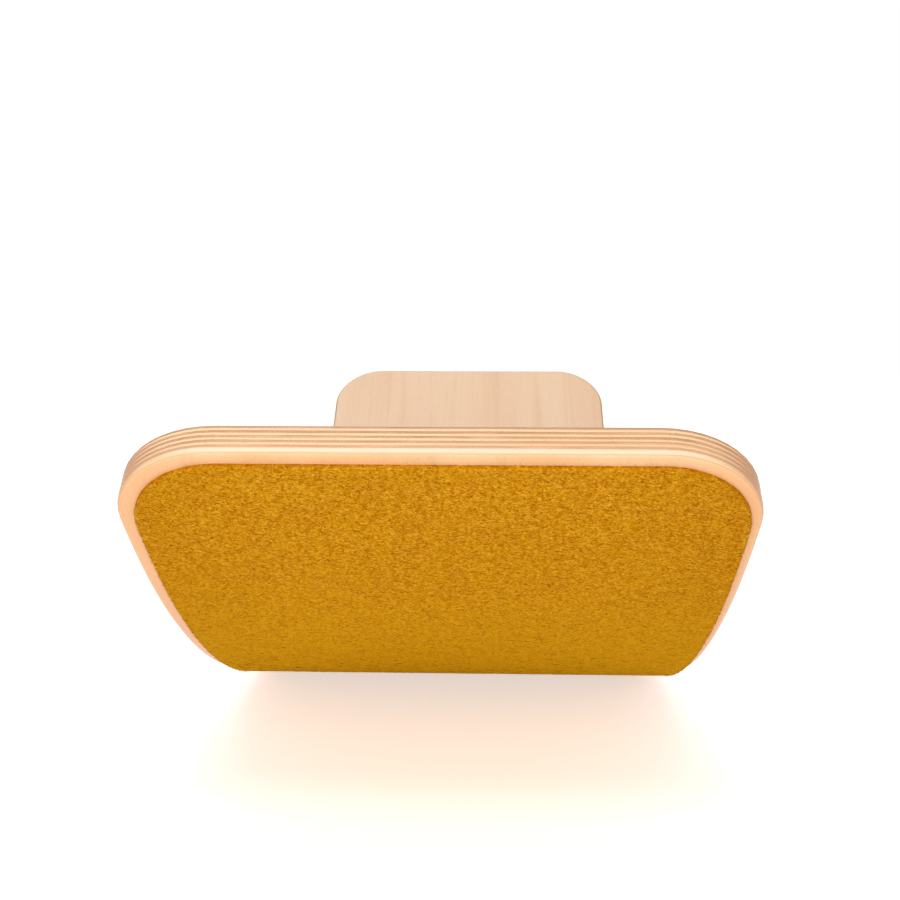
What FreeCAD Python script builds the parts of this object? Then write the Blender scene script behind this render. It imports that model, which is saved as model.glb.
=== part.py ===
"""Curvy balance board: a bent laminated wooden board with a felt sole.

The board is pressed from eleven sheets of beech veneer whose grain runs by
turns along and across it, then routed to its outline and rounded on both
arrises, so that its edge shows every sheet. A sheet of wool felt is glued
under it, short of the rim all round. It lies with its ends up and rocks on
the felt, and nothing on it moves by itself.

Frame: X runs along the board, Y across it and Z up. The origin lies on the
floor under the middle of the board, where the felt meets it. Millimetres.
"""

import FreeCAD, Part
import math
import os

# Board outline
board_length = 900.0        # straight from end to end, over the convex wood face
board_width = 300.0
corner_radius = 51.0        # of the four corners, seen square to the sheet
edge_radius = 2.5           # of the round on both arrises, all the way round

# Bend, measured on the convex wood face
middle_radius = 620.0
end_radius = 603.0
middle_half_angle = 20.0    # degrees of turn from the lowest line to the tighter ends

# Lay-up
face_thickness = 0.8        # of the convex face veneer, sanded under the felt
outer_thickness = 2.7       # of the veneer above it, and of the concave face veneer
core_thickness = 1.425      # of each veneer between those two
core_count = 8              # even, so that both faces have their grain lengthwise

# Felt sole
felt_thickness = 3.0
felt_margin = 7.3           # bare wood between the felt and the edge of the board
felt_side_shift = 1.4       # how far off the middle the felt is glued, towards +Y

# How far a sheet that cuts reaches past the board
cut_clearance = 5.0


def turn_at(distance_from_end):
    """The turn in radians at a distance back from the end, along the convex face."""
    middle_turn = math.radians(middle_half_angle)
    end_reach = board_length / 2 - middle_radius * math.sin(middle_turn)
    turn_at_end = math.asin(math.sin(middle_turn) + end_reach / end_radius)
    return turn_at_end - distance_from_end / end_radius


def bend_point(turn, depth):
    """A point of the board's side view, at a turn in radians and a depth.

    Depth is square to the sheet. It is zero on the convex wood face, positive in
    the wood and negative in the felt.
    """
    middle_turn = math.radians(middle_half_angle)
    radius = middle_radius
    centre_x = 0.0
    centre_z = felt_thickness + middle_radius
    if abs(turn) > middle_turn:
        step = middle_radius - end_radius
        radius = end_radius
        centre_x = math.copysign(1.0, turn) * step * math.sin(middle_turn)
        centre_z -= step * math.cos(middle_turn)
    reach = radius - depth
    return FreeCAD.Vector(centre_x + reach * math.sin(turn), 0.0, centre_z - reach * math.cos(turn))


def bend_arcs(end_turn, depth):
    """The three tangent arcs of the side view at one depth."""
    middle_turn = math.radians(middle_half_angle)
    stops = [-end_turn, -middle_turn, middle_turn, end_turn]
    arcs = []
    for first, last in zip(stops, stops[1:]):
        turns = (first, (first + last) / 2, last)
        arcs.append(Part.Arc(*[bend_point(turn, depth) for turn in turns]).toShape())
    return arcs


def bent_sheet(end_turn, low_depth, high_depth, width):
    """A sheet that follows the bend between two depths, its ends cut square to it."""
    outline = bend_arcs(end_turn, low_depth) + bend_arcs(end_turn, high_depth)
    for turn in (-end_turn, end_turn):
        outline.append(Part.makeLine(bend_point(turn, low_depth), bend_point(turn, high_depth)))
    side_view = Part.Face(Part.Wire(Part.__sortEdges__(outline)))
    side_view.translate(FreeCAD.Vector(0.0, -width / 2, 0.0))
    return side_view.extrude(FreeCAD.Vector(0.0, width, 0.0))


def corner_edges(sheet):
    """The four short edges through a bent sheet, the only straight ones not along Y."""
    straight = [edge for edge in sheet.Edges if isinstance(edge.Curve, Part.Line)]
    return [edge for edge in straight if abs(edge.Curve.Direction.y) < 0.5]


def arris_edges(sheet):
    """The edges all round both wide faces: each bounds one bent face, not two."""
    cylinders = [face for face in sheet.Faces if isinstance(face.Surface, Part.Cylinder)]
    bent_faces = [face for face in cylinders if abs(face.Surface.Axis.y) > 0.5]
    rims = [edge for face in bent_faces for edge in face.Edges]
    return [edge for edge in rims if sum(edge.isSame(other) for other in rims) == 1]


def glue_depths():
    """The depths that bound the veneers, from the convex face to the concave one."""
    thicknesses = [face_thickness, outer_thickness] + [core_thickness] * core_count
    depths = [0.0]
    for thickness in thicknesses + [outer_thickness]:
        depths.append(depths[-1] + thickness)
    return depths


def make_board():
    """The whole wooden board: pressed, routed to its outline and rounded over."""
    board = bent_sheet(turn_at(0.0), 0.0, glue_depths()[-1], board_width)
    board = board.makeFillet(corner_radius, corner_edges(board))
    return board.makeFillet(edge_radius, arris_edges(board))


def make_veneer(board, index):
    """One veneer of the board, counted from zero at the convex face."""
    low_depth, high_depth = glue_depths()[index : index + 2]
    if index == 0:
        low_depth -= cut_clearance
    if index == core_count + 2:
        high_depth += cut_clearance
    width = board_width + 2 * cut_clearance
    layer = bent_sheet(turn_at(-cut_clearance), low_depth, high_depth, width)
    return board.common(layer)


def make_felt():
    """The sole under the convex face, with the board's outline drawn in by its margin."""
    width = board_width - 2 * felt_margin
    felt = bent_sheet(turn_at(felt_margin), -felt_thickness, 0.0, width)
    felt = felt.makeFillet(corner_radius - felt_margin, corner_edges(felt))
    felt.translate(FreeCAD.Vector(0.0, felt_side_shift, 0.0))
    return felt


def veneer_name(index):
    """The node name of a veneer: faces by their side, the rest by grain and place."""
    if index == 0:
        return "convex_face_veneer"
    if index == core_count + 2:
        return "concave_face_veneer"
    grain = "cross" if index % 2 else "long"
    return f"{grain}_veneer_{(index + 1) // 2}"


def write_node(name, shape):
    """Write one node's solid, after a check that it is a single valid one."""
    if len(shape.Solids) != 1 or not shape.isValid():
        raise ValueError(f"{name} is not one valid solid")
    shape.Solids[0].exportStep(f"parts/{name}.step")


def main():
    """Build the board, part it into its veneers, and write them and the felt."""
    os.makedirs("parts", exist_ok=True)
    board = make_board()
    for index in range(core_count + 3):
        write_node(veneer_name(index), make_veneer(board, index))
    write_node("felt_sole", make_felt())


main()
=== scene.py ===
"""The looks of a curvy balance board: eleven beech veneers and a felt sole.

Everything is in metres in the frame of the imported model: X along the board, Y
across it, Z up, with the felt on the floor at the origin.

A point of the board is written as (run, across, depth). Run is the distance
along the bend from the middle, measured on the convex wood face. Depth is
square to the sheet: zero on that face, positive in the wood, negative in the
felt.
"""

import logging
import math
from dataclasses import dataclass, field, replace
from enum import Enum
from functools import cached_property
from itertools import chain

import bmesh
import bpy
from mathutils import Matrix, Vector, noise


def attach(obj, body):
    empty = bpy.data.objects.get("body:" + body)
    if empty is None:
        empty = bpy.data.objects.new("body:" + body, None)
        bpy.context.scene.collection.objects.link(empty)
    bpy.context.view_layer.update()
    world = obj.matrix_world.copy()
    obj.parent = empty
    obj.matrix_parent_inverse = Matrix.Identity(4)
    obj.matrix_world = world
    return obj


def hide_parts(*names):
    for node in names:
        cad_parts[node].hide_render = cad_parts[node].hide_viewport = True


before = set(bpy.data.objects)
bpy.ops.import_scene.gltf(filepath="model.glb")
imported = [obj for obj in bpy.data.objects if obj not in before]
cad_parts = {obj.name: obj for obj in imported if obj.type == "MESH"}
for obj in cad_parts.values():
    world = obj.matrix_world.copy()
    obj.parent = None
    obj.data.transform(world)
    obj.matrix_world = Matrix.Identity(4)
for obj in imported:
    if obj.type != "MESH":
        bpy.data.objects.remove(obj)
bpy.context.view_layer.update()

log = logging.getLogger("balance_board")

Colour = tuple[float, ...]  # linear red, green and blue, and alpha
Triple = tuple[float, float, float]
Socket = bpy.types.NodeSocket

ROOT = "root"
LAY = "lay"          # vertex attribute: run, across, depth
FACING = "facing"    # vertex attribute: the surface's normal along run, across and depth
GLUE = "glue"        # vertex attribute: one on a glue line, zero beside it
NAP = "nap"          # vertex attribute: one where the felt's broad side shows
RIM = "rim"          # vertex attribute: one on the felt's cut edge


def tone(red: int, green: int, blue: int) -> Colour:
    """Turn a display colour into the linear colour that shaders take.

    Args:
        red: Red from 0 to 255.
        green: Green from 0 to 255.
        blue: Blue from 0 to 255.

    Returns:
        Linear red, green and blue, and an alpha of one.
    """
    linear = []
    for value in (red, green, blue):
        share = value / 255
        linear.append(share / 12.92 if share <= 0.04045 else ((share + 0.055) / 1.055) ** 2.4)
    return (linear[0], linear[1], linear[2], 1.0)


# Node trees


class Bench:
    """A node tree under construction, with short calls for the nodes it takes."""

    def __init__(self, tree: bpy.types.NodeTree) -> None:
        """Work on a tree."""
        self.tree = tree

    def give(self, socket: Socket, value: object) -> None:
        """Link a socket to another, or set a plain value on it.

        Args:
            socket: The input that takes the value.
            value: An output, or a plain value.
        """
        if isinstance(value, bpy.types.NodeSocket):
            self.tree.links.new(value, socket)
        else:
            socket.default_value = value

    def put(
        self, kind: str, *values: object, setup: dict[str, str] | None = None, **inputs: object
    ) -> bpy.types.NodeOutputs:
        """Add a node.

        Args:
            kind: The node's type.
            values: What its first inputs take, in order.
            setup: Its own options.
            inputs: What its other inputs take, spaces in their names written as underscores.

        Returns:
            The node's outputs.
        """
        node = self.tree.nodes.new(kind)
        for name, option in (setup or {}).items():
            setattr(node, name, option)
        for socket, value in zip(node.inputs, values):
            self.give(socket, value)
        for name, value in inputs.items():
            title = name.replace("_", " ")
            self.give(next(s for s in node.inputs if s.enabled and s.name == title), value)
        return node.outputs

    def reckon(self, how: str, *values: Socket | float) -> Socket:
        """Join numbers with one of the Math node's operations."""
        return self.put("ShaderNodeMath", *values, setup={"operation": how})[0]

    def times(self, first: Socket, second: Socket | float) -> Socket:
        """Multiply two numbers."""
        return self.reckon("MULTIPLY", first, second)


class Recipe(Bench):
    """A tree of geometry nodes that works on a mesh and dresses it."""

    def __init__(self, name: str, inputs: dict[str, str]) -> None:
        """Start a tree.

        Args:
            name: The tree's name.
            inputs: The kind of each of its own named inputs.
        """
        super().__init__(bpy.data.node_groups.new(name, "GeometryNodeTree"))
        sockets = self.tree.interface
        for title, kind in {"Surface": "Geometry", **inputs, "Finish": "Material"}.items():
            sockets.new_socket(title, in_out="INPUT", socket_type="NodeSocket" + kind)
        sockets.new_socket("Piece", in_out="OUTPUT", socket_type="NodeSocketGeometry")
        self.given = self.put("NodeGroupInput")

    def place(self) -> bpy.types.NodeOutputs:
        """Read where each vertex lies, as X, Y and Z."""
        return self.put("ShaderNodeSeparateXYZ", self.put("GeometryNodeInputPosition")[0])

    def move(self, geometry: Socket, **inputs: Socket) -> Socket:
        """Move vertices to a Position or by an Offset."""
        return self.put("GeometryNodeSetPosition", geometry, **inputs)[0]

    def close(self, geometry: Socket) -> None:
        """End the tree with real geometry in its finish.

        Args:
            geometry: What the tree has made.
        """
        solid = self.put("GeometryNodeRealizeInstances", geometry)[0]
        finish = self.given["Finish"]
        dressed = self.put("GeometryNodeSetMaterial", Geometry=solid, Material=finish)
        self.put("NodeGroupOutput", dressed[0])

    def run(self, name: str, mesh: bpy.types.Mesh, values: dict[str, object]) -> bpy.types.Object:
        """Run the tree over a mesh and keep the result as a plain piece.

        Args:
            name: The piece's name.
            mesh: What the tree works on, which is used up.
            values: What each named input takes.

        Returns:
            The piece at the origin.
        """
        carrier = bpy.data.objects.new(name, mesh)
        bpy.context.scene.collection.objects.link(carrier)
        modifier = carrier.modifiers.new(name, "NODES")
        modifier.node_group = self.tree
        for item in self.tree.interface.items_tree:
            if item.in_out == "INPUT" and item.name in values:
                modifier[item.identifier] = values[item.name]
        graph = bpy.context.evaluated_depsgraph_get()
        made = bpy.data.meshes.new_from_object(carrier.evaluated_get(graph))
        bpy.data.objects.remove(carrier)
        bpy.data.meshes.remove(mesh)
        made.name = name
        piece = bpy.data.objects.new(name, made)
        bpy.context.scene.collection.objects.link(piece)
        return piece


# Sizes and shape


@dataclass(frozen=True)
class Bend:
    """The side view of the board: a flatter middle between two tighter ends."""

    length: float = 0.900
    middle_radius: float = 0.620
    end_radius: float = 0.603
    middle_turn: float = math.radians(20.0)
    wood_height: float = 0.003

    @property
    def middle_run(self) -> float:
        """Run at which the tighter ends begin."""
        return self.middle_radius * self.middle_turn

    @property
    def half_run(self) -> float:
        """Run from the middle of the board to its end.

        Returns:
            The run, worked out from the straight length between the ends.
        """
        reach = self.length / 2 - self.middle_radius * math.sin(self.middle_turn)
        end_turn = math.asin(math.sin(self.middle_turn) + reach / self.end_radius)
        return self.middle_run + self.end_radius * (end_turn - self.middle_turn)

    @cached_property
    def press(self) -> Recipe:
        """The tree that bends a flat sheet, whose X, Y and Z are run, across and depth.

        Returns:
            A tree whose inputs are the sizes of the bend.
        """
        sizes = ("Middle Radius", "End Radius", "Middle Turn", "Wood Height")
        recipe = Recipe("bend", dict.fromkeys(sizes, "Float"))
        reckon, times = recipe.reckon, recipe.times
        middle_radius, end_radius, middle_turn, wood_height = (recipe.given[name] for name in sizes)
        flat = recipe.place()
        off = reckon("ABSOLUTE", flat["X"])
        middle_run = times(middle_radius, middle_turn)
        near = reckon("MINIMUM", off, middle_run)
        beyond = reckon("SUBTRACT", off, near)
        turn = reckon(
            "ADD", reckon("DIVIDE", near, middle_radius), reckon("DIVIDE", beyond, end_radius)
        )
        in_end = reckon("GREATER_THAN", off, middle_run)
        step = times(in_end, reckon("SUBTRACT", middle_radius, end_radius))
        reach = reckon("SUBTRACT", reckon("SUBTRACT", middle_radius, step), flat["Z"])
        out, down = (
            reckon("ADD", times(step, reckon(how, middle_turn)), times(reach, reckon(how, turn)))
            for how in ("SINE", "COSINE")
        )
        bent = recipe.put(
            "ShaderNodeCombineXYZ",
            X=times(reckon("SIGN", flat["X"]), out),
            Y=flat["Y"],
            Z=reckon("SUBTRACT", reckon("ADD", wood_height, middle_radius), down),
        )
        recipe.close(recipe.move(recipe.given["Surface"], Position=bent[0]))
        return recipe

    def shape(
        self, name: str, flat: bpy.types.Mesh, finish: bpy.types.Material
    ) -> bpy.types.Object:
        """Bend a sheet that lies flat, and dress it.

        Args:
            name: The piece's name.
            flat: The sheet, which is used up.
            finish: Its material.

        Returns:
            The bent sheet at the origin.
        """
        values = {
            "Middle Radius": self.middle_radius,
            "End Radius": self.end_radius,
            "Middle Turn": self.middle_turn,
            "Wood Height": self.wood_height,
            "Finish": finish,
        }
        return self.press.run(name, flat, values)


@dataclass(frozen=True)
class Outline:
    """The round-cornered outline of a sheet before it is bent."""

    half_run: float
    half_width: float
    corner_radius: float
    side_shift: float = 0.0

    @property
    def area(self) -> float:
        """Area inside the outline."""
        corners = (4 - math.pi) * self.corner_radius**2
        return 4 * self.half_run * self.half_width - corners

    def row(self, station: float, inset: float) -> Triple:
        """Where one row across the sheet lies, and how far it reaches to the side.

        Args:
            station: From -2 to 2. Whole steps beyond 1 go round the corner arcs.
            inset: How far the outline is drawn in.

        Returns:
            The row's run, half its width, and the angle of the outline's normal
            from the run direction there.
        """
        radius = self.corner_radius - inset
        straight = self.half_run - self.corner_radius
        side = math.copysign(1.0, station)
        angle = math.pi / 2
        if abs(station) <= 1.0:
            return (station * straight, self.half_width - inset, angle)
        angle *= 2.0 - abs(station)
        run = side * (straight + radius * math.cos(angle))
        return (run, self.half_width - self.corner_radius + radius * math.sin(angle), angle)


@dataclass(frozen=True)
class EdgeStep:
    """One ring of a sheet's edge, from its low face to its high face."""

    depth: float
    inset: float
    tilt: float
    glue: float = 0.0
    rim: float = 0.0


@dataclass
class BentSheet:
    """A closed sheet laid out flat as a grid of rows and bent to the board's curve."""

    name: str
    bend: Bend
    outline: Outline
    steps: list[EdgeStep]
    straight_rows: int = 88
    corner_rows: int = 12
    columns: int = 24
    points: list[Triple] = field(default_factory=list)
    facings: list[Triple] = field(default_factory=list)
    marks: list[Triple] = field(default_factory=list)
    faces: list[tuple[int, ...]] = field(default_factory=list)

    def stations(self) -> list[float]:
        """The rows' stations, close together round the corners.

        Returns:
            Stations from -2 to 2.
        """
        corner = [1 + index / self.corner_rows for index in range(1, self.corner_rows + 1)]
        straight = [-1 + 2 * index / self.straight_rows for index in range(self.straight_rows + 1)]
        return [-station for station in reversed(corner)] + straight + corner

    def shares(self) -> list[float]:
        """How far across its row each inner column lies, from -1 to 1."""
        return [2 * column / self.columns - 1 for column in range(1, self.columns)]

    def uneven(self, run: float, across: float, step: EdgeStep) -> float:
        """How far a point of a ring or face lies off its even depth; none here."""
        return 0.0

    def add_point(
        self, run: float, across: float, step: EdgeStep, normal: Vector, nap: float = 0.0
    ) -> int:
        """Add one vertex with what its material reads.

        Args:
            run: Distance along the bend.
            across: Distance from the outline's own middle line.
            step: The ring whose depth the vertex has.
            normal: The surface's normal along run, across and depth.
            nap: One where the felt's broad side shows.

        Returns:
            The vertex's number.
        """
        side = across + self.outline.side_shift
        depth = step.depth + self.uneven(run, side, step)
        self.points.append((run, side, depth))
        self.facings.append(tuple(normal))
        self.marks.append((step.glue, nap, step.rim))
        return len(self.points) - 1

    def ring(self, step: EdgeStep) -> list[int]:
        """Add one ring round the edge.

        Args:
            step: The ring's depth, inset and tilt.

        Returns:
            The ring's vertices in order: the side at -Y, the end at +X, and back.
        """
        stations = self.stations()
        shares = self.shares()
        flat = math.cos(step.tilt)
        rise = math.sin(step.tilt)
        numbers = []
        for side, order, crossing, heading in (
            (-1.0, stations, shares, 0.0),
            (1.0, stations[::-1], shares[::-1], math.pi),
        ):
            loop: list[Triple] = []
            for station in order:
                run, half, angle = self.outline.row(station, step.inset)
                lead = math.copysign(math.cos(angle), station)
                loop.append((run, side * half, math.atan2(side * math.sin(angle), lead)))
            run, half, _ = self.outline.row(order[-1], step.inset)
            loop += [(run, half * share, heading) for share in crossing]
            for run, across, turn in loop:
                normal = Vector((flat * math.cos(turn), flat * math.sin(turn), rise))
                numbers.append(self.add_point(run, across, step, normal))
        return numbers

    def fill(self, step: EdgeStep, loop: list[int], upward: bool) -> None:
        """Close one broad side with a grid whose rim is the given ring.

        Args:
            step: The ring's step.
            loop: The ring's vertices.
            upward: Whether this is the side that faces the hollow.
        """
        rows = len(self.stations())
        turned = rows + self.columns - 1  # where the ring starts back along the other side
        near, far = loop[:rows], loop[turned : turned + rows]
        last_row = [near[-1], *loop[rows:turned], far[0]]
        first_row = [near[0], *reversed(loop[turned + rows :]), far[-1]]
        normal = Vector((0.0, 0.0, 1.0 if upward else -1.0))
        nap = 0.0 if upward else 1.0
        inner = replace(step, rim=0.0)
        grid = [first_row]
        for index, station in enumerate(self.stations()[1:-1], start=1):
            run, half, _ = self.outline.row(station, step.inset)
            row = [near[index]]
            for share in self.shares():
                row.append(self.add_point(run, half * share, inner, normal, nap))
            row.append(far[rows - 1 - index])
            grid.append(row)
        grid.append(last_row)
        for low, high in zip(grid, grid[1:]):
            for column in range(self.columns):
                corners = (low[column], high[column], high[column + 1], low[column + 1])
                self.faces.append(corners if upward else corners[::-1])

    def build(
        self, finish: bpy.types.Material, smooth_below: float = math.radians(28.0)
    ) -> bpy.types.Object:
        """Lay the sheet out flat, and then bend and dress it.

        Args:
            finish: Its material.
            smooth_below: Edges that turn more than this stay sharp.

        Returns:
            The sheet as an object at the origin.
        """
        rings = [self.ring(step) for step in self.steps]
        for low, high in zip(rings, rings[1:]):
            for index, corner in enumerate(low):
                after = (index + 1) % len(low)
                self.faces.append((corner, low[after], high[after], high[index]))
        self.fill(self.steps[0], rings[0], upward=False)
        self.fill(self.steps[-1], rings[-1], upward=True)
        mesh = bpy.data.meshes.new(self.name)
        mesh.from_pydata(self.points, [], self.faces)
        self.write_attributes(mesh)
        shape = bmesh.new()
        shape.from_mesh(mesh)
        bmesh.ops.recalc_face_normals(shape, faces=shape.faces)
        for face in shape.faces:
            face.smooth = True
        for edge in shape.edges:
            edge.smooth = edge.calc_face_angle(0.0) < smooth_below
        shape.to_mesh(mesh)
        shape.free()
        return self.bend.shape(self.name, mesh, finish)

    def write_attributes(self, mesh: bpy.types.Mesh) -> None:
        """Give the mesh the attributes that its finish reads.

        Args:
            mesh: The sheet, laid out flat.
        """
        for name, values in ((LAY, self.points), (FACING, self.facings)):
            attribute = mesh.attributes.new(name, "FLOAT_VECTOR", "POINT")
            attribute.data.foreach_set("vector", list(chain.from_iterable(values)))
        for place, name in enumerate((GLUE, NAP, RIM)):
            attribute = mesh.attributes.new(name, "FLOAT", "POINT")
            attribute.data.foreach_set("value", [mark[place] for mark in self.marks])


# Finishes


@dataclass(frozen=True)
class Pattern:
    """A noise, by its repeats per metre along run, across and depth."""

    scale: Triple
    detail: float = 2.0
    rough: float = 0.5
    warp: float = 0.0
    turn: float = 0.0
    offset: Triple = (0.0, 0.0, 0.0)


@dataclass(frozen=True)
class Fade:
    """How a share changes smoothly between two readings."""

    low: float
    high: float
    at_low: float = 0.0
    at_high: float = 1.0


class Grain(Enum):
    """Which way a veneer's fibres run."""

    LONG = "along the board"
    CROSS = "across the board"

    def turned(self, pattern: Pattern) -> Pattern:
        """Turn a pattern that is written for fibres along the board to this grain."""
        along, across, deep = pattern.scale
        return pattern if self is Grain.LONG else replace(pattern, scale=(across, along, deep))


class Shader(Bench):
    """A material under construction."""

    def __init__(self, name: str) -> None:
        """Start a material that holds one Principled shader.

        Args:
            name: The material's name.
        """
        self.material = bpy.data.materials.new(name)
        self.material.use_nodes = True
        super().__init__(self.material.node_tree)
        self.surface = self.tree.nodes["Principled BSDF"]

    def set(self, **values: object) -> None:
        """Give the shader's own sockets what they take, spaces written as underscores."""
        for name, value in values.items():
            self.give(self.surface.inputs[name.replace("_", " ")], value)

    def attribute(self, name: str, output: str = "Vector") -> Socket:
        """Read one of the mesh's attributes."""
        return self.put("ShaderNodeAttribute", setup={"attribute_name": name})[output]

    def place(self) -> Socket:
        """Read where a point lies on the piece itself."""
        return self.put("ShaderNodeTexCoord")["Object"]

    def part(self, vector: Socket, axis: str) -> Socket:
        """Take X, Y or Z out of a vector."""
        return self.put("ShaderNodeSeparateXYZ", vector)[axis]

    def off_middle(self, vector: Socket, axis: str) -> Socket:
        """How far a vector reaches along an axis, either way."""
        return self.reckon("ABSOLUTE", self.part(vector, axis))

    def stretch(self, vector: Socket, pattern: Pattern) -> Socket:
        """Turn coordinates in the sheet, and then scale and move them, as a pattern asks.

        Args:
            vector: The coordinates.
            pattern: The turn, scale and offset.

        Returns:
            The new coordinates.
        """
        turned = self.put("ShaderNodeMapping", vector, Rotation=(0.0, 0.0, pattern.turn))[0]
        scaled = {"Scale": pattern.scale, "Location": pattern.offset}
        return self.put("ShaderNodeMapping", turned, **scaled)[0]

    def noise(self, vector: Socket, pattern: Pattern) -> Socket:
        """A soft noise from about 0.3 to 0.7 in those coordinates.

        Args:
            vector: The coordinates.
            pattern: Its scale and character.

        Returns:
            The noise.
        """
        return self.put(
            "ShaderNodeTexNoise",
            self.stretch(vector, pattern),
            Scale=1.0,
            Detail=pattern.detail,
            Roughness=pattern.rough,
            Distortion=pattern.warp,
        )["Fac"]

    def cells(self, vector: Socket, pattern: Pattern) -> bpy.types.NodeOutputs:
        """Random cells: Distance to the nearest middle, and a random Color each."""
        return self.put("ShaderNodeTexVoronoi", self.stretch(vector, pattern), Scale=1.0)

    def span(self, value: Socket, fade: Fade) -> Socket:
        """Turn a reading into a share.

        Args:
            value: The reading.
            fade: Which readings give which shares.

        Returns:
            The share.
        """
        ends = (fade.low, fade.high, fade.at_low, fade.at_high)
        smooth = {"interpolation_type": "SMOOTHSTEP"}
        return self.put("ShaderNodeMapRange", value, *ends, setup=smooth)[0]

    def blend(
        self, share: Socket, first: Socket | Colour, second: Socket | Colour, how: str = "MIX"
    ) -> Socket:
        """Lay a second colour over a first by a share, or multiply the two by it."""
        node = {"data_type": "RGBA", "blend_type": how}
        return self.put("ShaderNodeMix", setup=node, Factor=share, A=first, B=second)[2]

    def bump(self, height: Socket, strength: float, distance: float) -> None:
        """Press a height pattern into the surface's normal, its full height in metres."""
        pressed = {"Strength": strength, "Distance": distance, "Height": height}
        self.set(Normal=self.put("ShaderNodeBump", **pressed)[0])


@dataclass(frozen=True)
class BeechFinish:
    """Sanded beech under a clear satin lacquer, with end grain where the fibres end."""

    name: str
    grain: Grain
    pale: Colour = tone(252, 216, 174)
    warm: Colour = tone(247, 206, 160)
    growth: Colour = tone(230, 182, 136)
    fleck: Colour = tone(196, 138, 92)
    end_pale: Colour = tone(222, 176, 132)
    end_dark: Colour = tone(188, 138, 94)
    rosy: Colour = tone(242, 184, 144)
    # the pale of the sanded lower arris, with a painted highlight in it
    sanding_and_highlight: Colour = tone(255, 226, 202)
    # painted shade on the upper arris
    top_arris_shade: Colour = tone(164, 124, 90)
    # painted shade on the long edges, multiplied in
    side_shade_tint: Colour = (0.80, 0.63, 0.53, 1.0)
    # painted warm shade and felt bounce light on the bare rim
    rim_shade_tint: Colour = tone(236, 164, 96)
    glue: Colour = tone(176, 132, 92)
    figure: float = 0.42
    glue_strength: float = 0.7
    ray_strength: float = 0.5
    cloud_pattern: Pattern = Pattern((2.2, 16.0, 16.0))
    ring_pattern: Pattern = Pattern((3.0, 110.0, 110.0), detail=4.0, rough=0.62, warp=0.35)
    fibre_pattern: Pattern = Pattern((38.0, 2100.0, 2100.0))
    ray_pattern: Pattern = Pattern((300.0, 1500.0, 1500.0))
    pore_pattern: Pattern = Pattern((1700.0, 1700.0, 2600.0))
    band_pattern: Pattern = Pattern((60.0, 60.0, 900.0))
    blush_pattern: Pattern = Pattern((26.0, 26.0, 650.0))

    def face_colour(self, shader: Shader, lay: Socket, rings: Socket, fibres: Socket) -> Socket:
        """The wood where its fibres lie in the surface.

        Args:
            shader: The material under construction.
            lay: Run, across and depth.
            rings: The noise of the year rings.
            fibres: The noise of the fibres.

        Returns:
            The colour, with clouds, year rings, fibres and ray flecks.
        """
        clouds = shader.noise(lay, self.grain.turned(self.cloud_pattern))
        colour = shader.blend(shader.span(clouds, Fade(0.36, 0.64)), self.pale, self.warm)
        ring_share = shader.span(rings, Fade(0.46, 0.74, 0.0, self.figure))
        colour = shader.blend(ring_share, colour, self.growth)
        fibre_share = shader.span(fibres, Fade(0.5, 0.78, 0.0, 0.3))
        colour = shader.blend(fibre_share, colour, self.growth)
        rays = shader.cells(lay, self.grain.turned(self.ray_pattern))
        spindle = shader.span(rays["Distance"], Fade(0.10, 0.30, 1.0, 0.0))
        kept = shader.span(shader.part(rays["Color"], "X"), Fade(0.55, 0.60))
        fleck = shader.times(shader.times(spindle, kept), self.ray_strength)
        return shader.blend(fleck, colour, self.fleck)

    def end_colour(self, shader: Shader, lay: Socket, pores: Socket) -> Socket:
        """The wood where its fibres end in the surface.

        Args:
            shader: The material under construction.
            lay: Run, across and depth.
            pores: The noise of the pores.

        Returns:
            The colour, rosier towards the convex face.
        """
        colour = shader.blend(shader.span(pores, Fade(0.40, 0.66)), self.end_pale, self.end_dark)
        bands = shader.noise(lay, self.band_pattern)
        colour = shader.blend(shader.span(bands, Fade(0.40, 0.64, 0.0, 0.6)), colour, self.end_dark)
        blush = shader.noise(lay, self.blush_pattern)
        colour = shader.blend(shader.span(blush, Fade(0.50, 0.66, 0.0, 0.6)), colour, self.rosy)
        low_down = shader.span(shader.part(lay, "Z"), Fade(0.0045, 0.0090, 0.4, 0.0))
        return shader.blend(low_down, colour, self.rosy)

    def end_share(self, shader: Shader, facing: Socket) -> Socket:
        """How much the fibres end in the surface, zero on the broad faces.

        Args:
            shader: The material under construction.
            facing: The surface's normal along run, across and depth.

        Returns:
            The share, from 0 to 1.
        """
        long = self.grain is Grain.LONG
        heading = shader.part(facing, "X" if long else "Y")
        lift = shader.part(facing, "Z")
        ending = Fade(0.05, 0.65) if long else Fade(0.40, 1.0)
        on_edge = shader.span(shader.times(lift, lift), Fade(0.0, 1.0, 1.0, 0.0))
        return shader.times(shader.span(shader.times(heading, heading), ending), on_edge)

    def age(self, shader: Shader, lay: Socket, facing: Socket, colour: Socket) -> Socket:
        """Tint the wood where it is sanded and along its glue lines, and paint highlight and shade
        on its edges.

        Args:
            shader: The material under construction.
            lay: Run, across and depth.
            facing: The surface's normal along run, across and depth.
            colour: The wood without tints.

        Returns:
            The tinted colour.
        """
        lead, side, lift = (shader.part(facing, axis) for axis in "XYZ")
        # The lower arris of both ends is painted pale: partly sanded wear, partly a painted
        # highlight that fades towards the corners.
        low_down = shader.span(shader.part(lay, "Z"), Fade(0.0024, 0.0037, 0.7, 0.0))
        sanding_and_highlight = shader.times(low_down, shader.span(lift, Fade(-0.95, -0.5)))
        at_ends = shader.span(shader.times(lead, lead), Fade(0.60, 0.98))
        colour = shader.blend(shader.times(sanding_and_highlight, at_ends), colour, self.sanding_and_highlight)
        # Painted shade: the long edges are darker and warmer.
        side_shade = shader.span(shader.times(side, side), Fade(0.05, 0.70))
        colour = shader.blend(side_shade, colour, self.side_shade_tint, "MULTIPLY")
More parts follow.
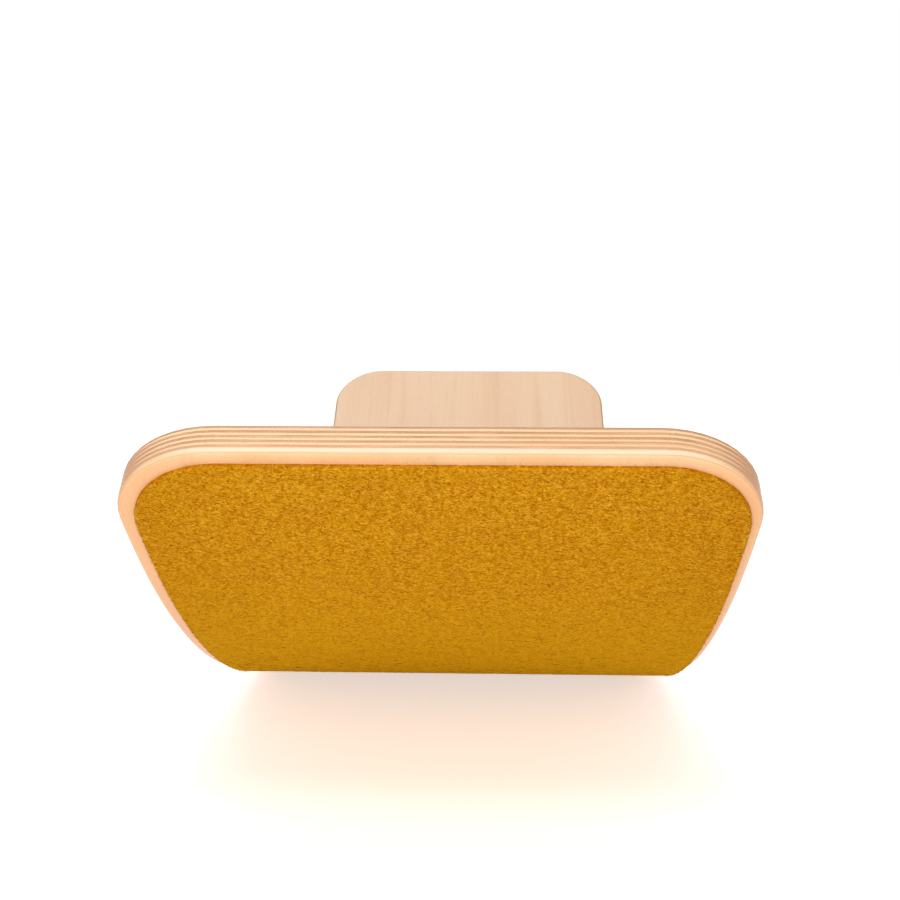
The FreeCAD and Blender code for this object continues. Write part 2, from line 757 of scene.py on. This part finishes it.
        # Painted warm shade and felt bounce light: so is the bare rim beside the felt, most of all
        # between the ends.
        outward = shader.span(shader.off_middle(lay, "Y"), Fade(0.07, 0.15, 0.0, 0.9))
        rim_shade = shader.times(outward, shader.span(lift, Fade(-1.0, -0.5, 1.0, 0.0)))
        between = shader.span(shader.off_middle(lay, "X"), Fade(0.20, 0.46, 1.0, 0.38))
        colour = shader.blend(shader.times(rim_shade, between), colour, self.rim_shade_tint)
        # Painted shade: the upper arris is darker.
        rising = shader.span(lift, Fade(0.05, 0.45, 0.0, 0.8))
        top_arris_shade = shader.times(rising, shader.span(lift, Fade(0.8, 1.0, 1.0, 0.0)))
        colour = shader.blend(top_arris_shade, colour, self.top_arris_shade)
        line = shader.times(shader.attribute(GLUE, "Fac"), self.glue_strength)
        return shader.blend(line, colour, self.glue)

    def material(self) -> bpy.types.Material:
        """Build the finish.

        Returns:
            The finish as a material.
        """
        shader = Shader(self.name)
        lay = shader.attribute(LAY)
        facing = shader.attribute(FACING)
        rings = shader.noise(lay, self.grain.turned(self.ring_pattern))
        fibres = shader.noise(lay, self.grain.turned(self.fibre_pattern))
        pores = shader.noise(lay, self.pore_pattern)
        colour = shader.blend(
            self.end_share(shader, facing),
            self.face_colour(shader, lay, rings, fibres),
            self.end_colour(shader, lay, pores),
        )
        shader.set(Base_Color=self.age(shader, lay, facing, colour))
        shader.set(Roughness=shader.span(rings, Fade(0.3, 0.7, 0.36, 0.46)))
        shader.bump(shader.reckon("ADD", fibres, pores), strength=0.10, distance=0.0002)
        shader.set(Coat_Weight=0.4, Coat_Roughness=0.24, Specular_IOR_Level=0.2)
        return shader.material


@dataclass(frozen=True)
class FeltFinish:
    """Pressed wool felt in a melange of ochre, gold and brown fibres."""

    name: str = "ochre_felt"
    ground: Colour = tone(203, 134, 0)
    gold: Colour = tone(239, 185, 50)
    brown: Colour = tone(152, 80, 0)
    rust: Colour = tone(192, 118, 10)
    # painted light on the felt's shaded underside
    painted_fill_light: Colour = tone(250, 198, 0)
    sheen: Colour = tone(236, 168, 0)
    light_strength: float = 0.85
    dark_strength: float = 0.7
    cloud_pattern: Pattern = Pattern((90.0, 60.0, 60.0), detail=3.0, rough=0.6)
    tuft_pattern: Pattern = Pattern((900.0, 620.0, 620.0), detail=5.0, rough=0.75, warp=0.3)
    strand_pattern: Pattern = Pattern((260.0, 860.0, 700.0), detail=1.0, warp=0.5)
    break_pattern: Pattern = Pattern((300.0, 300.0, 300.0))

    def strands(self, shader: Shader, lay: Socket, turn: float, start: float) -> Socket:
        """Fine curved fibres that lie roughly one way and break off here and there.

        Args:
            shader: The material under construction.
            lay: Run, across and depth.
            turn: Which way the fibres lie in the sheet, in radians.
            start: Where the pattern starts, so that no two sets agree.

        Returns:
            One on a fibre, zero beside it.
        """
        lines = replace(self.strand_pattern, turn=turn, offset=(start, start / 2, 0.0))
        beside = shader.reckon("SUBTRACT", shader.noise(lay, lines), 0.5)
        fibre = shader.span(shader.reckon("ABSOLUTE", beside), Fade(0.008, 0.042, 1.0, 0.0))
        breaks = replace(self.break_pattern, offset=(0.0, start, 0.0))
        return shader.times(fibre, shader.span(shader.noise(lay, breaks), Fade(0.40, 0.56)))

    def material(self) -> bpy.types.Material:
        """Build the finish.

        Returns:
            The finish as a material.
        """
        shader = Shader(self.name)
        lay = shader.attribute(LAY)
        clouds = shader.noise(lay, self.cloud_pattern)
        tufts = shader.noise(lay, self.tuft_pattern)
        light = shader.reckon(
            "MAXIMUM",
            self.strands(shader, lay, turn=1.45, start=7.3),
            self.strands(shader, lay, turn=0.9, start=14.6),
        )
        dark = self.strands(shader, lay, turn=1.9, start=21.9)
        along = shader.off_middle(lay, "X")
        # Painted light: the felt is lighter and yellower between its middle and its ends, where it
        # faces the shaded floor.
        painted_fill = shader.times(
            shader.span(along, Fade(0.18, 0.45, 0.85, 0.0)),
            shader.span(along, Fade(0.05, 0.17, 0.4, 1.0)),
        )
        sideways = shader.span(shader.off_middle(lay, "Y"), Fade(0.07, 0.145, 0.0, 0.14))
        colour: Socket | Colour = self.ground
        for share, tint in (
            (shader.span(clouds, Fade(0.40, 0.62, 0.0, 0.6)), self.rust),
            (painted_fill, self.painted_fill_light),
            (shader.span(tufts, Fade(0.50, 0.64, 0.0, 0.75)), self.gold),
            (shader.span(tufts, Fade(0.37, 0.48, 1.0, 0.0)), self.brown),
            (shader.times(dark, self.dark_strength), self.brown),
            (shader.times(light, self.light_strength), self.gold),
            (sideways, self.brown),
        ):
            colour = shader.blend(share, colour, tint)
        shader.set(Base_Color=colour)
        height = shader.reckon("ADD", shader.times(light, 0.4), shader.times(tufts, 1.5))
        shader.bump(height, strength=0.5, distance=0.0004)
        shader.set(Roughness=0.95, Specular_IOR_Level=0.02)
        shader.set(Sheen_Weight=0.45, Sheen_Roughness=0.4, Sheen_Tint=self.sheen)
        return shader.material


@dataclass(frozen=True)
class FibreFinish:
    """One colour of loose wool fibre, paler and deeper from place to place."""

    name: str
    colour: Colour
    deep: Colour
    dye_pattern: Pattern = Pattern((700.0, 700.0, 700.0), rough=0.6)

    def material(self) -> bpy.types.Material:
        """Build the finish.

        Returns:
            The finish as a material.
        """
        shader = Shader(self.name)
        dye = shader.noise(shader.place(), self.dye_pattern)
        share = shader.span(dye, Fade(0.40, 0.64))
        shader.set(Base_Color=shader.blend(share, self.colour, self.deep))
        shader.set(Roughness=shader.span(dye, Fade(0.3, 0.7, 0.74, 0.86)))
        shader.set(Specular_IOR_Level=0.05)
        return shader.material


# Sub-assemblies


@dataclass(frozen=True)
class LayUp:
    """What the veneers and the felt share: the bend, the outline and the plies."""

    bend: Bend = Bend()
    width: float = 0.300
    corner_radius: float = 0.051
    edge_radius: float = 0.0025
    face_thickness: float = 0.0008
    outer_thickness: float = 0.0027
    core_thickness: float = 0.001425
    core_count: int = 8
    glue_groove: float = 0.00004
    glue_reach: float = 0.00014
    wave: float = 0.00024
    wave_rate: float = 22.0
    line_shift: float = 5.7

    @property
    def veneer_count(self) -> int:
        """How many veneers there are."""
        return self.core_count + 3

    @property
    def glue_depths(self) -> list[float]:
        """The depths that bound the veneers, from the convex face to the concave one.

        Returns:
            One depth more than there are veneers.
        """
        thicknesses = [self.face_thickness, self.outer_thickness]
        thicknesses += [self.core_thickness] * self.core_count
        depths = [0.0]
        for thickness in [*thicknesses, self.outer_thickness]:
            depths.append(depths[-1] + thickness)
        return depths

    @property
    def thickness(self) -> float:
        """Thickness of all the wood."""
        return self.glue_depths[-1]

    @property
    def outline(self) -> Outline:
        """The board's outline."""
        return Outline(self.bend.half_run, self.width / 2, self.corner_radius)

    def rounding(self, depth: float) -> tuple[float, float]:
        """How the rounded arrises draw the edge in at a depth.

        Args:
            depth: Distance from the convex face.

        Returns:
            The inset, and the tilt of the edge's normal towards the hollow.
        """
        radius = self.edge_radius
        below = max(0.0, radius - depth)
        above = max(0.0, depth - (self.thickness - radius))
        off = max(below, above)
        tilt = math.asin(min(1.0, off / radius))
        return (radius * (1 - math.cos(tilt)), -tilt if below > 0.0 else tilt)

    def glue_line(self, line: int, run: float, across: float) -> float:
        """How far a glue line strays from its even depth, because veneer is never even.

        Args:
            line: The glue line, counted from the convex face.
            run: Distance along the bend.
            across: Distance from the middle of the width.

        Returns:
            The stray, zero on both broad faces.
        """
        if line in (0, self.veneer_count):
            return 0.0
        spot = (run * self.wave_rate, across * self.wave_rate, line * self.line_shift)
        return self.wave * noise.noise(Vector(spot))


@dataclass
class VeneerSheet(BentSheet):
    """One veneer as a bent sheet whose faces are the glue lines to its neighbours."""

    lay_up: LayUp = LayUp()
    index: int = 0

    def uneven(self, run: float, across: float, step: EdgeStep) -> float:
        """Follow the glue line below, the one above, or a mean of both in between.

        Args:
            run: Distance along the bend.
            across: Distance from the middle of the width.
            step: The ring or face.

        Returns:
            How far the point lies off its even depth.
        """
        low = self.lay_up.glue_line(self.index, run, across)
        high = self.lay_up.glue_line(self.index + 1, run, across)
        start, end = self.lay_up.glue_depths[self.index : self.index + 2]
        return low + (high - low) * (step.depth - start) / (end - start)


@dataclass
class Laminate:
    """The pressed stack of veneers."""

    lay_up: LayUp = LayUp()
    arc_steps: int = 9
    least_step: float = 1.5  # between rings, in widths of a glue line's side

    def node_name(self, index: int) -> str:
        """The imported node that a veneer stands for.

        Args:
            index: The veneer, counted from the convex face.

        Returns:
            The node's name.
        """
        if index == 0:
            return "convex_face_veneer"
        if index == self.lay_up.veneer_count - 1:
            return "concave_face_veneer"
        grain = "cross" if index % 2 else "long"
        return f"{grain}_veneer_{(index + 1) // 2}"

    def edge_steps(self, index: int) -> list[EdgeStep]:
        """The rings of one veneer's edge, with a fine groove at each glue line.

        Args:
            index: The veneer, counted from the convex face.

        Returns:
            The rings from low to high.
        """
        lay_up = self.lay_up
        reach = lay_up.glue_reach
        low, high = lay_up.glue_depths[index : index + 2]
        depths = set()
        for arris in range(self.arc_steps + 1):
            off = lay_up.edge_radius * (1 - math.sin(arris / self.arc_steps * math.pi / 2))
            depths.update((off, lay_up.thickness - off))
        crowded = self.least_step * reach
        inner = [depth for depth in sorted(depths) if min(depth - low, high - depth) >= crowded]
        steps = [EdgeStep(depth, *lay_up.rounding(depth)) for depth in inner]
        for depth, into, first in ((low, reach, True), (high, -reach, False)):
            inset, tilt = lay_up.rounding(depth)
            if index == (0 if first else lay_up.veneer_count - 1):
                edge = [EdgeStep(depth, inset, tilt)]
            else:
                beside = EdgeStep(depth + into, *lay_up.rounding(depth + into))
                edge = [EdgeStep(depth, inset + lay_up.glue_groove, tilt, glue=1.0), beside]
            steps = edge + steps if first else steps + edge[::-1]
        return steps

    def build(self) -> list[bpy.types.Object]:
        """Make and dress every veneer.

        Returns:
            The veneers from the convex face up.
        """
        long_grain = BeechFinish("beech_along", Grain.LONG).material()
        cross_grain = BeechFinish("beech_across", Grain.CROSS).material()
        convex_face = BeechFinish(
            "beech_convex_face", Grain.LONG, pale=tone(255, 211, 164), warm=tone(250, 199, 146)
        ).material()
        concave_face = BeechFinish(
            "beech_concave_face",
            Grain.LONG,
            pale=tone(254, 221, 189),
            warm=tone(250, 211, 177),
            figure=0.3,
        ).material()
        faces = {0: convex_face, self.lay_up.veneer_count - 1: concave_face}
        pieces = []
        for index in range(self.lay_up.veneer_count):
            sheet = VeneerSheet(
                name="wood_" + self.node_name(index),
                bend=self.lay_up.bend,
                outline=self.lay_up.outline,
                steps=self.edge_steps(index),
                lay_up=self.lay_up,
                index=index,
            )
            piece = sheet.build(faces.get(index, cross_grain if index % 2 else long_grain))
            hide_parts(self.node_name(index))
            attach(piece, ROOT)
            pieces.append(piece)
        return pieces


@dataclass
class FeltSheet(BentSheet):
    """The felt as a bent sheet whose broad side is slightly uneven."""

    relief: float = 0.00022
    relief_rates: tuple[float, float] = (140.0, 95.0)
    relief_start: float = 3.0
    glued_above: float = -0.001

    def uneven(self, run: float, across: float, step: EdgeStep) -> float:
        """Draw the broad side in by a soft relief, never out.

        Args:
            run: Distance along the bend.
            across: Distance from the middle of the width.
            step: The ring or face.

        Returns:
            How far the point lies off its even depth.
        """
        if step.rim > 0.0 or step.depth > self.glued_above:
            return 0.0
        along_rate, across_rate = self.relief_rates
        spot = Vector((run * along_rate, across * across_rate, self.relief_start))
        return self.relief * (0.5 + 0.5 * noise.noise(spot))


@dataclass(frozen=True)
class FibreLayer:
    """Loose fibres scattered over a surface by a node tree."""

    name: str
    finish: FibreFinish
    where: str
    per_square_metre: float
    length: float
    thickness: float
    curl: float
    rise: float
    seed: int
    sides: int = 3
    rings: int = 3
    spread: tuple[float, float] = (0.5, 1.5)
    sway_scale: float = 420.0

    def draw(self, recipe: Recipe, low: float, high: float) -> Socket:
        """Draw a number from low to high for each fibre, by the tree's seed."""
        drawn = {"Min": low, "Max": high, "Seed": recipe.given["Seed"]}
        return recipe.put("FunctionNodeRandomValue", setup={"data_type": "FLOAT"}, **drawn)[1]

    def fibre(self, recipe: Recipe) -> Socket:
        """One fibre along X: a slim closed spindle, bowed sideways and up at its ends.

        Args:
            recipe: The tree under construction.

        Returns:
            The fibre.
        """
        given, put, times = recipe.given, recipe.put, recipe.times
        half = times(given["Length"], 0.5)
        thin = times(given["Thickness"], 0.5)
        ball = put("GeometryNodeMeshUVSphere", Segments=self.sides, Rings=self.rings, Radius=1.0)
        spindle = put(
            "GeometryNodeTransform",
            Geometry=ball["Mesh"],
            Rotation=(0.0, math.pi / 2, 0.0),
            Scale=put("ShaderNodeCombineXYZ", thin, thin, half)[0],
        )
        reach = recipe.reckon("DIVIDE", recipe.place()["X"], half)
        outward = times(reach, reach)
        aside = times(recipe.reckon("SUBTRACT", outward, 1.0), given["Curl"])
        up = times(outward, given["Rise"])
        return recipe.move(spindle[0], Offset=put("ShaderNodeCombineXYZ", 0.0, aside, up)[0])

    def scatter(self, recipe: Recipe, fibre: Socket) -> Socket:
        """Lay fibres flat on the surface, each turned its own way, and make them real.

        Args:
            recipe: The tree under construction.
            fibre: One fibre.

        Returns:
            All the fibres.
        """
        given, put = recipe.given, recipe.put
        mask = put("GeometryNodeInputNamedAttribute", Name=given["Where"])["Attribute"]
        spots = put(
            "GeometryNodeDistributePointsOnFaces",
            Mesh=given["Surface"],
            Density=recipe.times(given["Per Square Metre"], mask),
            Seed=given["Seed"],
        )
        spin = self.draw(recipe, 0.0, math.tau)
        turn = put("FunctionNodeAxisAngleToRotation", Axis=(0.0, 0.0, 1.0), Angle=spin)[0]
        local = {"rotation_space": "LOCAL"}
        facing = put("FunctionNodeRotateRotation", spots["Rotation"], turn, setup=local)[0]
        laid = put(
            "GeometryNodeInstanceOnPoints",
            Points=spots["Points"],
            Instance=fibre,
            Rotation=facing,
            Scale=self.draw(recipe, *self.spread),
        )
        return put("GeometryNodeRealizeInstances", laid[0])[0]

    def sway(self, recipe: Recipe, fibres: Socket) -> Socket:
        """Bend the fibres this way and that, and keep them off the floor.

        Args:
            recipe: The tree under construction.
            fibres: The fibres as they were laid.

        Returns:
            The bent fibres.
        """
        put, kind = recipe.put, "ShaderNodeVectorMath"
        wander = put("ShaderNodeTexNoise", Scale=self.sway_scale, Detail=1.0)["Color"]
        centred = put(kind, wander, (0.5, 0.5, 0.5), setup={"operation": "SUBTRACT"})[0]
        swayed = put(kind, centred, setup={"operation": "SCALE"}, Scale=recipe.given["Curl"])[0]
        bent = recipe.move(fibres, Offset=swayed)
        spot = recipe.place()
        lowest = recipe.reckon("MAXIMUM", spot["Z"], recipe.given["Thickness"])
        clear = put("ShaderNodeCombineXYZ", spot["X"], spot["Y"], lowest)[0]
        return recipe.move(bent, Position=clear)

    def recipe(self) -> Recipe:
        """Build the tree that scatters the fibres.

        Returns:
            A tree whose inputs are the fibres' sizes, their number and where they lie.
        """
        sizes = ("Per Square Metre", "Length", "Thickness", "Curl", "Rise")
        inputs = {"Where": "String", **dict.fromkeys(sizes, "Float"), "Seed": "Int"}
        recipe = Recipe(self.name, inputs)
        recipe.close(self.sway(recipe, self.scatter(recipe, self.fibre(recipe))))
        return recipe

    def grow(self, surface: bpy.types.Object) -> bpy.types.Object:
        """Scatter the fibres over a surface and keep them as a plain mesh.

        Args:
            surface: The dressed felt.

        Returns:
            The fibres as one object at the origin.
        """
        values = {
            "Where": self.where,
            "Per Square Metre": self.per_square_metre,
            "Length": self.length,
            "Thickness": self.thickness,
            "Curl": self.curl,
            "Rise": self.rise,
            "Seed": self.seed,
            "Finish": self.finish.material(),
        }
        piece = self.recipe().run(self.name, surface.data.copy(), values)
        piece.data.shade_smooth()
        return piece


@dataclass
class FeltSole:
    """The felt under the board, with its nap and the fuzz of its cut edge."""

    lay_up: LayUp = LayUp()
    thickness: float = 0.003
    margin: float = 0.0073
    side_shift: float = 0.0014
    soft_edge: float = 0.0007
    soft_steps: int = 4
    smooth_below: float = math.radians(60.0)
    rows: int = 220
    columns: int = 64
    node: str = "felt_sole"

    def outline(self) -> Outline:
        """The felt's outline, the board's drawn in by the margin.

        Returns:
            The outline, shifted to the side as it is glued.
        """
        board = self.lay_up.outline
        return Outline(
            board.half_run - self.margin,
            board.half_width - self.margin,
            board.corner_radius - self.margin,
            self.side_shift,
        )

    def edge_steps(self) -> list[EdgeStep]:
        """The rings of the cut edge: a soft lower arris and a square upper one.

        Returns:
            The rings from low to high.
        """
        soft = self.soft_edge
        rings = []
        for index in range(self.soft_steps + 1):
            angle = (self.soft_steps - index) / self.soft_steps * math.pi / 2
            depth = -self.thickness + soft * (1 - math.sin(angle))
            inset = soft * (1 - math.cos(angle))
            rings.append(EdgeStep(depth, inset, -angle, rim=min(1.0, index / 2)))
        for depth in (-self.thickness / 2, 0.0):
            rings.append(EdgeStep(depth, 0.0, 0.0, rim=1.0))
        return rings

    def fibre_layers(self) -> list[FibreLayer]:
        """The loose fibres, by colour, and the fuzz of the cut edge.

        Returns:
            The layers in the order they are grown.
        """
        gold = FibreFinish("wool_gold", tone(242, 196, 56), tone(229, 175, 28))
        ochre = FibreFinish("wool_ochre", tone(222, 156, 10), tone(204, 138, 2))
        brown = FibreFinish("wool_brown", tone(178, 107, 6), tone(156, 86, 0))
        nap = {"length": 0.0036, "thickness": 0.00014, "curl": 0.0005, "rise": 0.00012}
        fuzz = {"length": 0.0023, "thickness": 0.00013, "curl": 0.0006, "rise": 0.0003}
        return [
            FibreLayer("felt_fibres_gold", gold, NAP, 56000.0, seed=11, **nap),
            FibreLayer("felt_fibres_ochre", ochre, NAP, 40000.0, seed=23, **nap),
            FibreLayer("felt_fibres_brown", brown, NAP, 30000.0, seed=37, **nap),
            FibreLayer("felt_edge_fuzz", ochre, RIM, 1300000.0, seed=41, **fuzz),
        ]

    def build(self, wood: bpy.types.Object) -> list[bpy.types.Object]:
        """Make and dress the felt.

        Args:
            wood: The veneer that the felt is glued to; not used.

        Returns:
            The felt, then its fibres.
        """
        outline = self.outline()
        sheet = FeltSheet(
            name="felt_sheet",
            bend=self.lay_up.bend,
            outline=outline,
            steps=self.edge_steps(),
            straight_rows=self.rows,
            columns=self.columns,
        )
        felt = sheet.build(FeltFinish().material(), self.smooth_below)
        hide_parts(self.node)
        pieces = [felt, *(layer.grow(felt) for layer in self.fibre_layers())]
        for piece in pieces:
            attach(piece, ROOT)
        return pieces


# Studio


@dataclass(frozen=True)
class Viewpoint:
    """The photograph's camera, on a picture 900 pixels wide and high."""

    place: Triple = (0.97777, 0.02348, 0.24981)
    yaw: float = 0.03213
    pitch: float = 0.09227
    roll: float = 0.00257
    focal_pixels: float = 1223.3
    picture_pixels: float = 900.0
    sensor: float = 36.0
    nearest: float = 0.01

    def build(self) -> None:
        """Make the camera and look through it."""
        forward = Vector(
            (
                -math.cos(self.pitch) * math.cos(self.yaw),
                -math.cos(self.pitch) * math.sin(self.yaw),
                -math.sin(self.pitch),
            )
        )
        right = forward.cross(Vector((0.0, 0.0, 1.0))).normalized()
        up = right.cross(forward)
        turned_right = math.cos(self.roll) * right + math.sin(self.roll) * up
        turned_up = math.cos(self.roll) * up - math.sin(self.roll) * right
        lens = bpy.data.cameras.new("viewpoint")
        lens.sensor_width = self.sensor
        lens.lens = self.sensor * self.focal_pixels / self.picture_pixels
        lens.clip_start = self.nearest
        camera = bpy.data.objects.new("viewpoint", lens)
        bpy.context.scene.collection.objects.link(camera)
        axes = Matrix((turned_right, turned_up, -forward)).transposed()
        camera.matrix_world = Matrix.Translation(self.place) @ axes.to_4x4()
        bpy.context.scene.camera = camera


@dataclass(frozen=True)
class Softbox:
    """A large soft lamp that shines at the board."""

    name: str
    place: Triple
    aim: Triple
    width: float
    height: float
    power: float
    colour: Triple = (1.0, 1.0, 1.0)

    def build(self) -> None:
        """Hang the lamp."""
        lamp = bpy.data.lights.new(self.name, "AREA")
        lamp.shape = "RECTANGLE"
        lamp.size = self.width
        lamp.size_y = self.height
        lamp.energy = self.power
        lamp.color = self.colour
        holder = bpy.data.objects.new(self.name, lamp)
        holder.visible_camera = False
        bpy.context.scene.collection.objects.link(holder)
        holder.location = self.place
        beam = Vector(self.aim) - Vector(self.place)
        holder.rotation_euler = beam.to_track_quat("-Z", "Y").to_euler()


@dataclass(frozen=True)
class Studio:
    """A white floor under soft light."""

    floor_size: float = 14.0
    floor_tone: Colour = (0.93, 0.92, 0.90, 1.0)
    floor_glow: Colour = (0.66, 0.59, 0.54, 1.0)
    floor_seen: Colour = (0.85, 0.80, 0.83, 1.0)
    sky_tone: Colour = (1.0, 0.985, 0.96, 1.0)
    sky_level: float = 0.60
    white: Colour = (1.0, 1.0, 1.0, 1.0)
    lamps: tuple[Softbox, ...] = (
        Softbox("overhead", (1.25, -0.05, 1.55), (0.35, 0.0, 0.1), 1.1, 0.40, 7.6),
        Softbox("front", (2.40, -0.20, 0.31), (0.30, 0.0, 0.08), 2.2, 0.6, 17.0),
        Softbox("back", (-2.00, -0.60, 1.60), (0.0, 0.0, 0.1), 1.8, 1.2, 12.0),
    )

    def build_floor(self) -> None:
        """Lay the floor, which shows white and keeps the board's shadow."""
        half = self.floor_size / 2
        mesh = bpy.data.meshes.new("floor")
        corners = [(-half, -half, 0.0), (half, -half, 0.0), (half, half, 0.0), (-half, half, 0.0)]
        mesh.from_pydata(corners, [], [(0, 1, 2, 3)])
        floor = bpy.data.objects.new("floor", mesh)
        bpy.context.scene.collection.objects.link(floor)
        material = bpy.data.materials.new("floor")
        material.use_nodes = True
        material.node_tree.nodes.clear()
        bench = Bench(material.node_tree)
        put = bench.put
        path = put("ShaderNodeLightPath")
        seen = bench.reckon("MAXIMUM", path["Is Camera Ray"], path["Is Glossy Ray"])
        plain = put("ShaderNodeBsdfDiffuse", self.floor_tone)[0]
        bright = put("ShaderNodeBsdfDiffuse", self.floor_seen)[0]
        glow = put("ShaderNodeEmission", self.floor_glow)[0]
        both = put("ShaderNodeAddShader", bright, glow)[0]
        put("ShaderNodeOutputMaterial", put("ShaderNodeMixShader", seen, plain, both)[0])
        mesh.materials.append(material)

    def build_sky(self) -> None:
        """Light the room evenly, with a white view behind the floor."""
        world = bpy.data.worlds.new("soft_room")
        bpy.context.scene.world = world
        world.use_nodes = True
        world.node_tree.nodes.clear()
        put = Bench(world.node_tree).put
        seen = put("ShaderNodeLightPath")["Is Camera Ray"]
        light = put("ShaderNodeBackground", self.sky_tone, self.sky_level)[0]
        white = put("ShaderNodeBackground", self.white, 1.0)[0]
        put("ShaderNodeOutputWorld", put("ShaderNodeMixShader", seen, light, white)[0])

    def build(self) -> None:
        """Set the floor, the light and the plain view transform."""
        bpy.context.scene.view_settings.view_transform = "Standard"
        self.build_floor()
        self.build_sky()
        for lamp in self.lamps:
            lamp.build()


def main() -> None:
    """Build the board and its studio in order."""
    logging.basicConfig(level=logging.INFO, format="%(name)s: %(message)s")
    lay_up = LayUp()
    veneers = Laminate(lay_up).build()
    felt = FeltSole(lay_up).build(veneers[0])
    for piece in [*veneers, *felt]:
        log.info("%s: %d faces", piece.name, len(piece.data.polygons))
    Viewpoint().build()
    Studio().build()


if __name__ == "__main__":
    main()
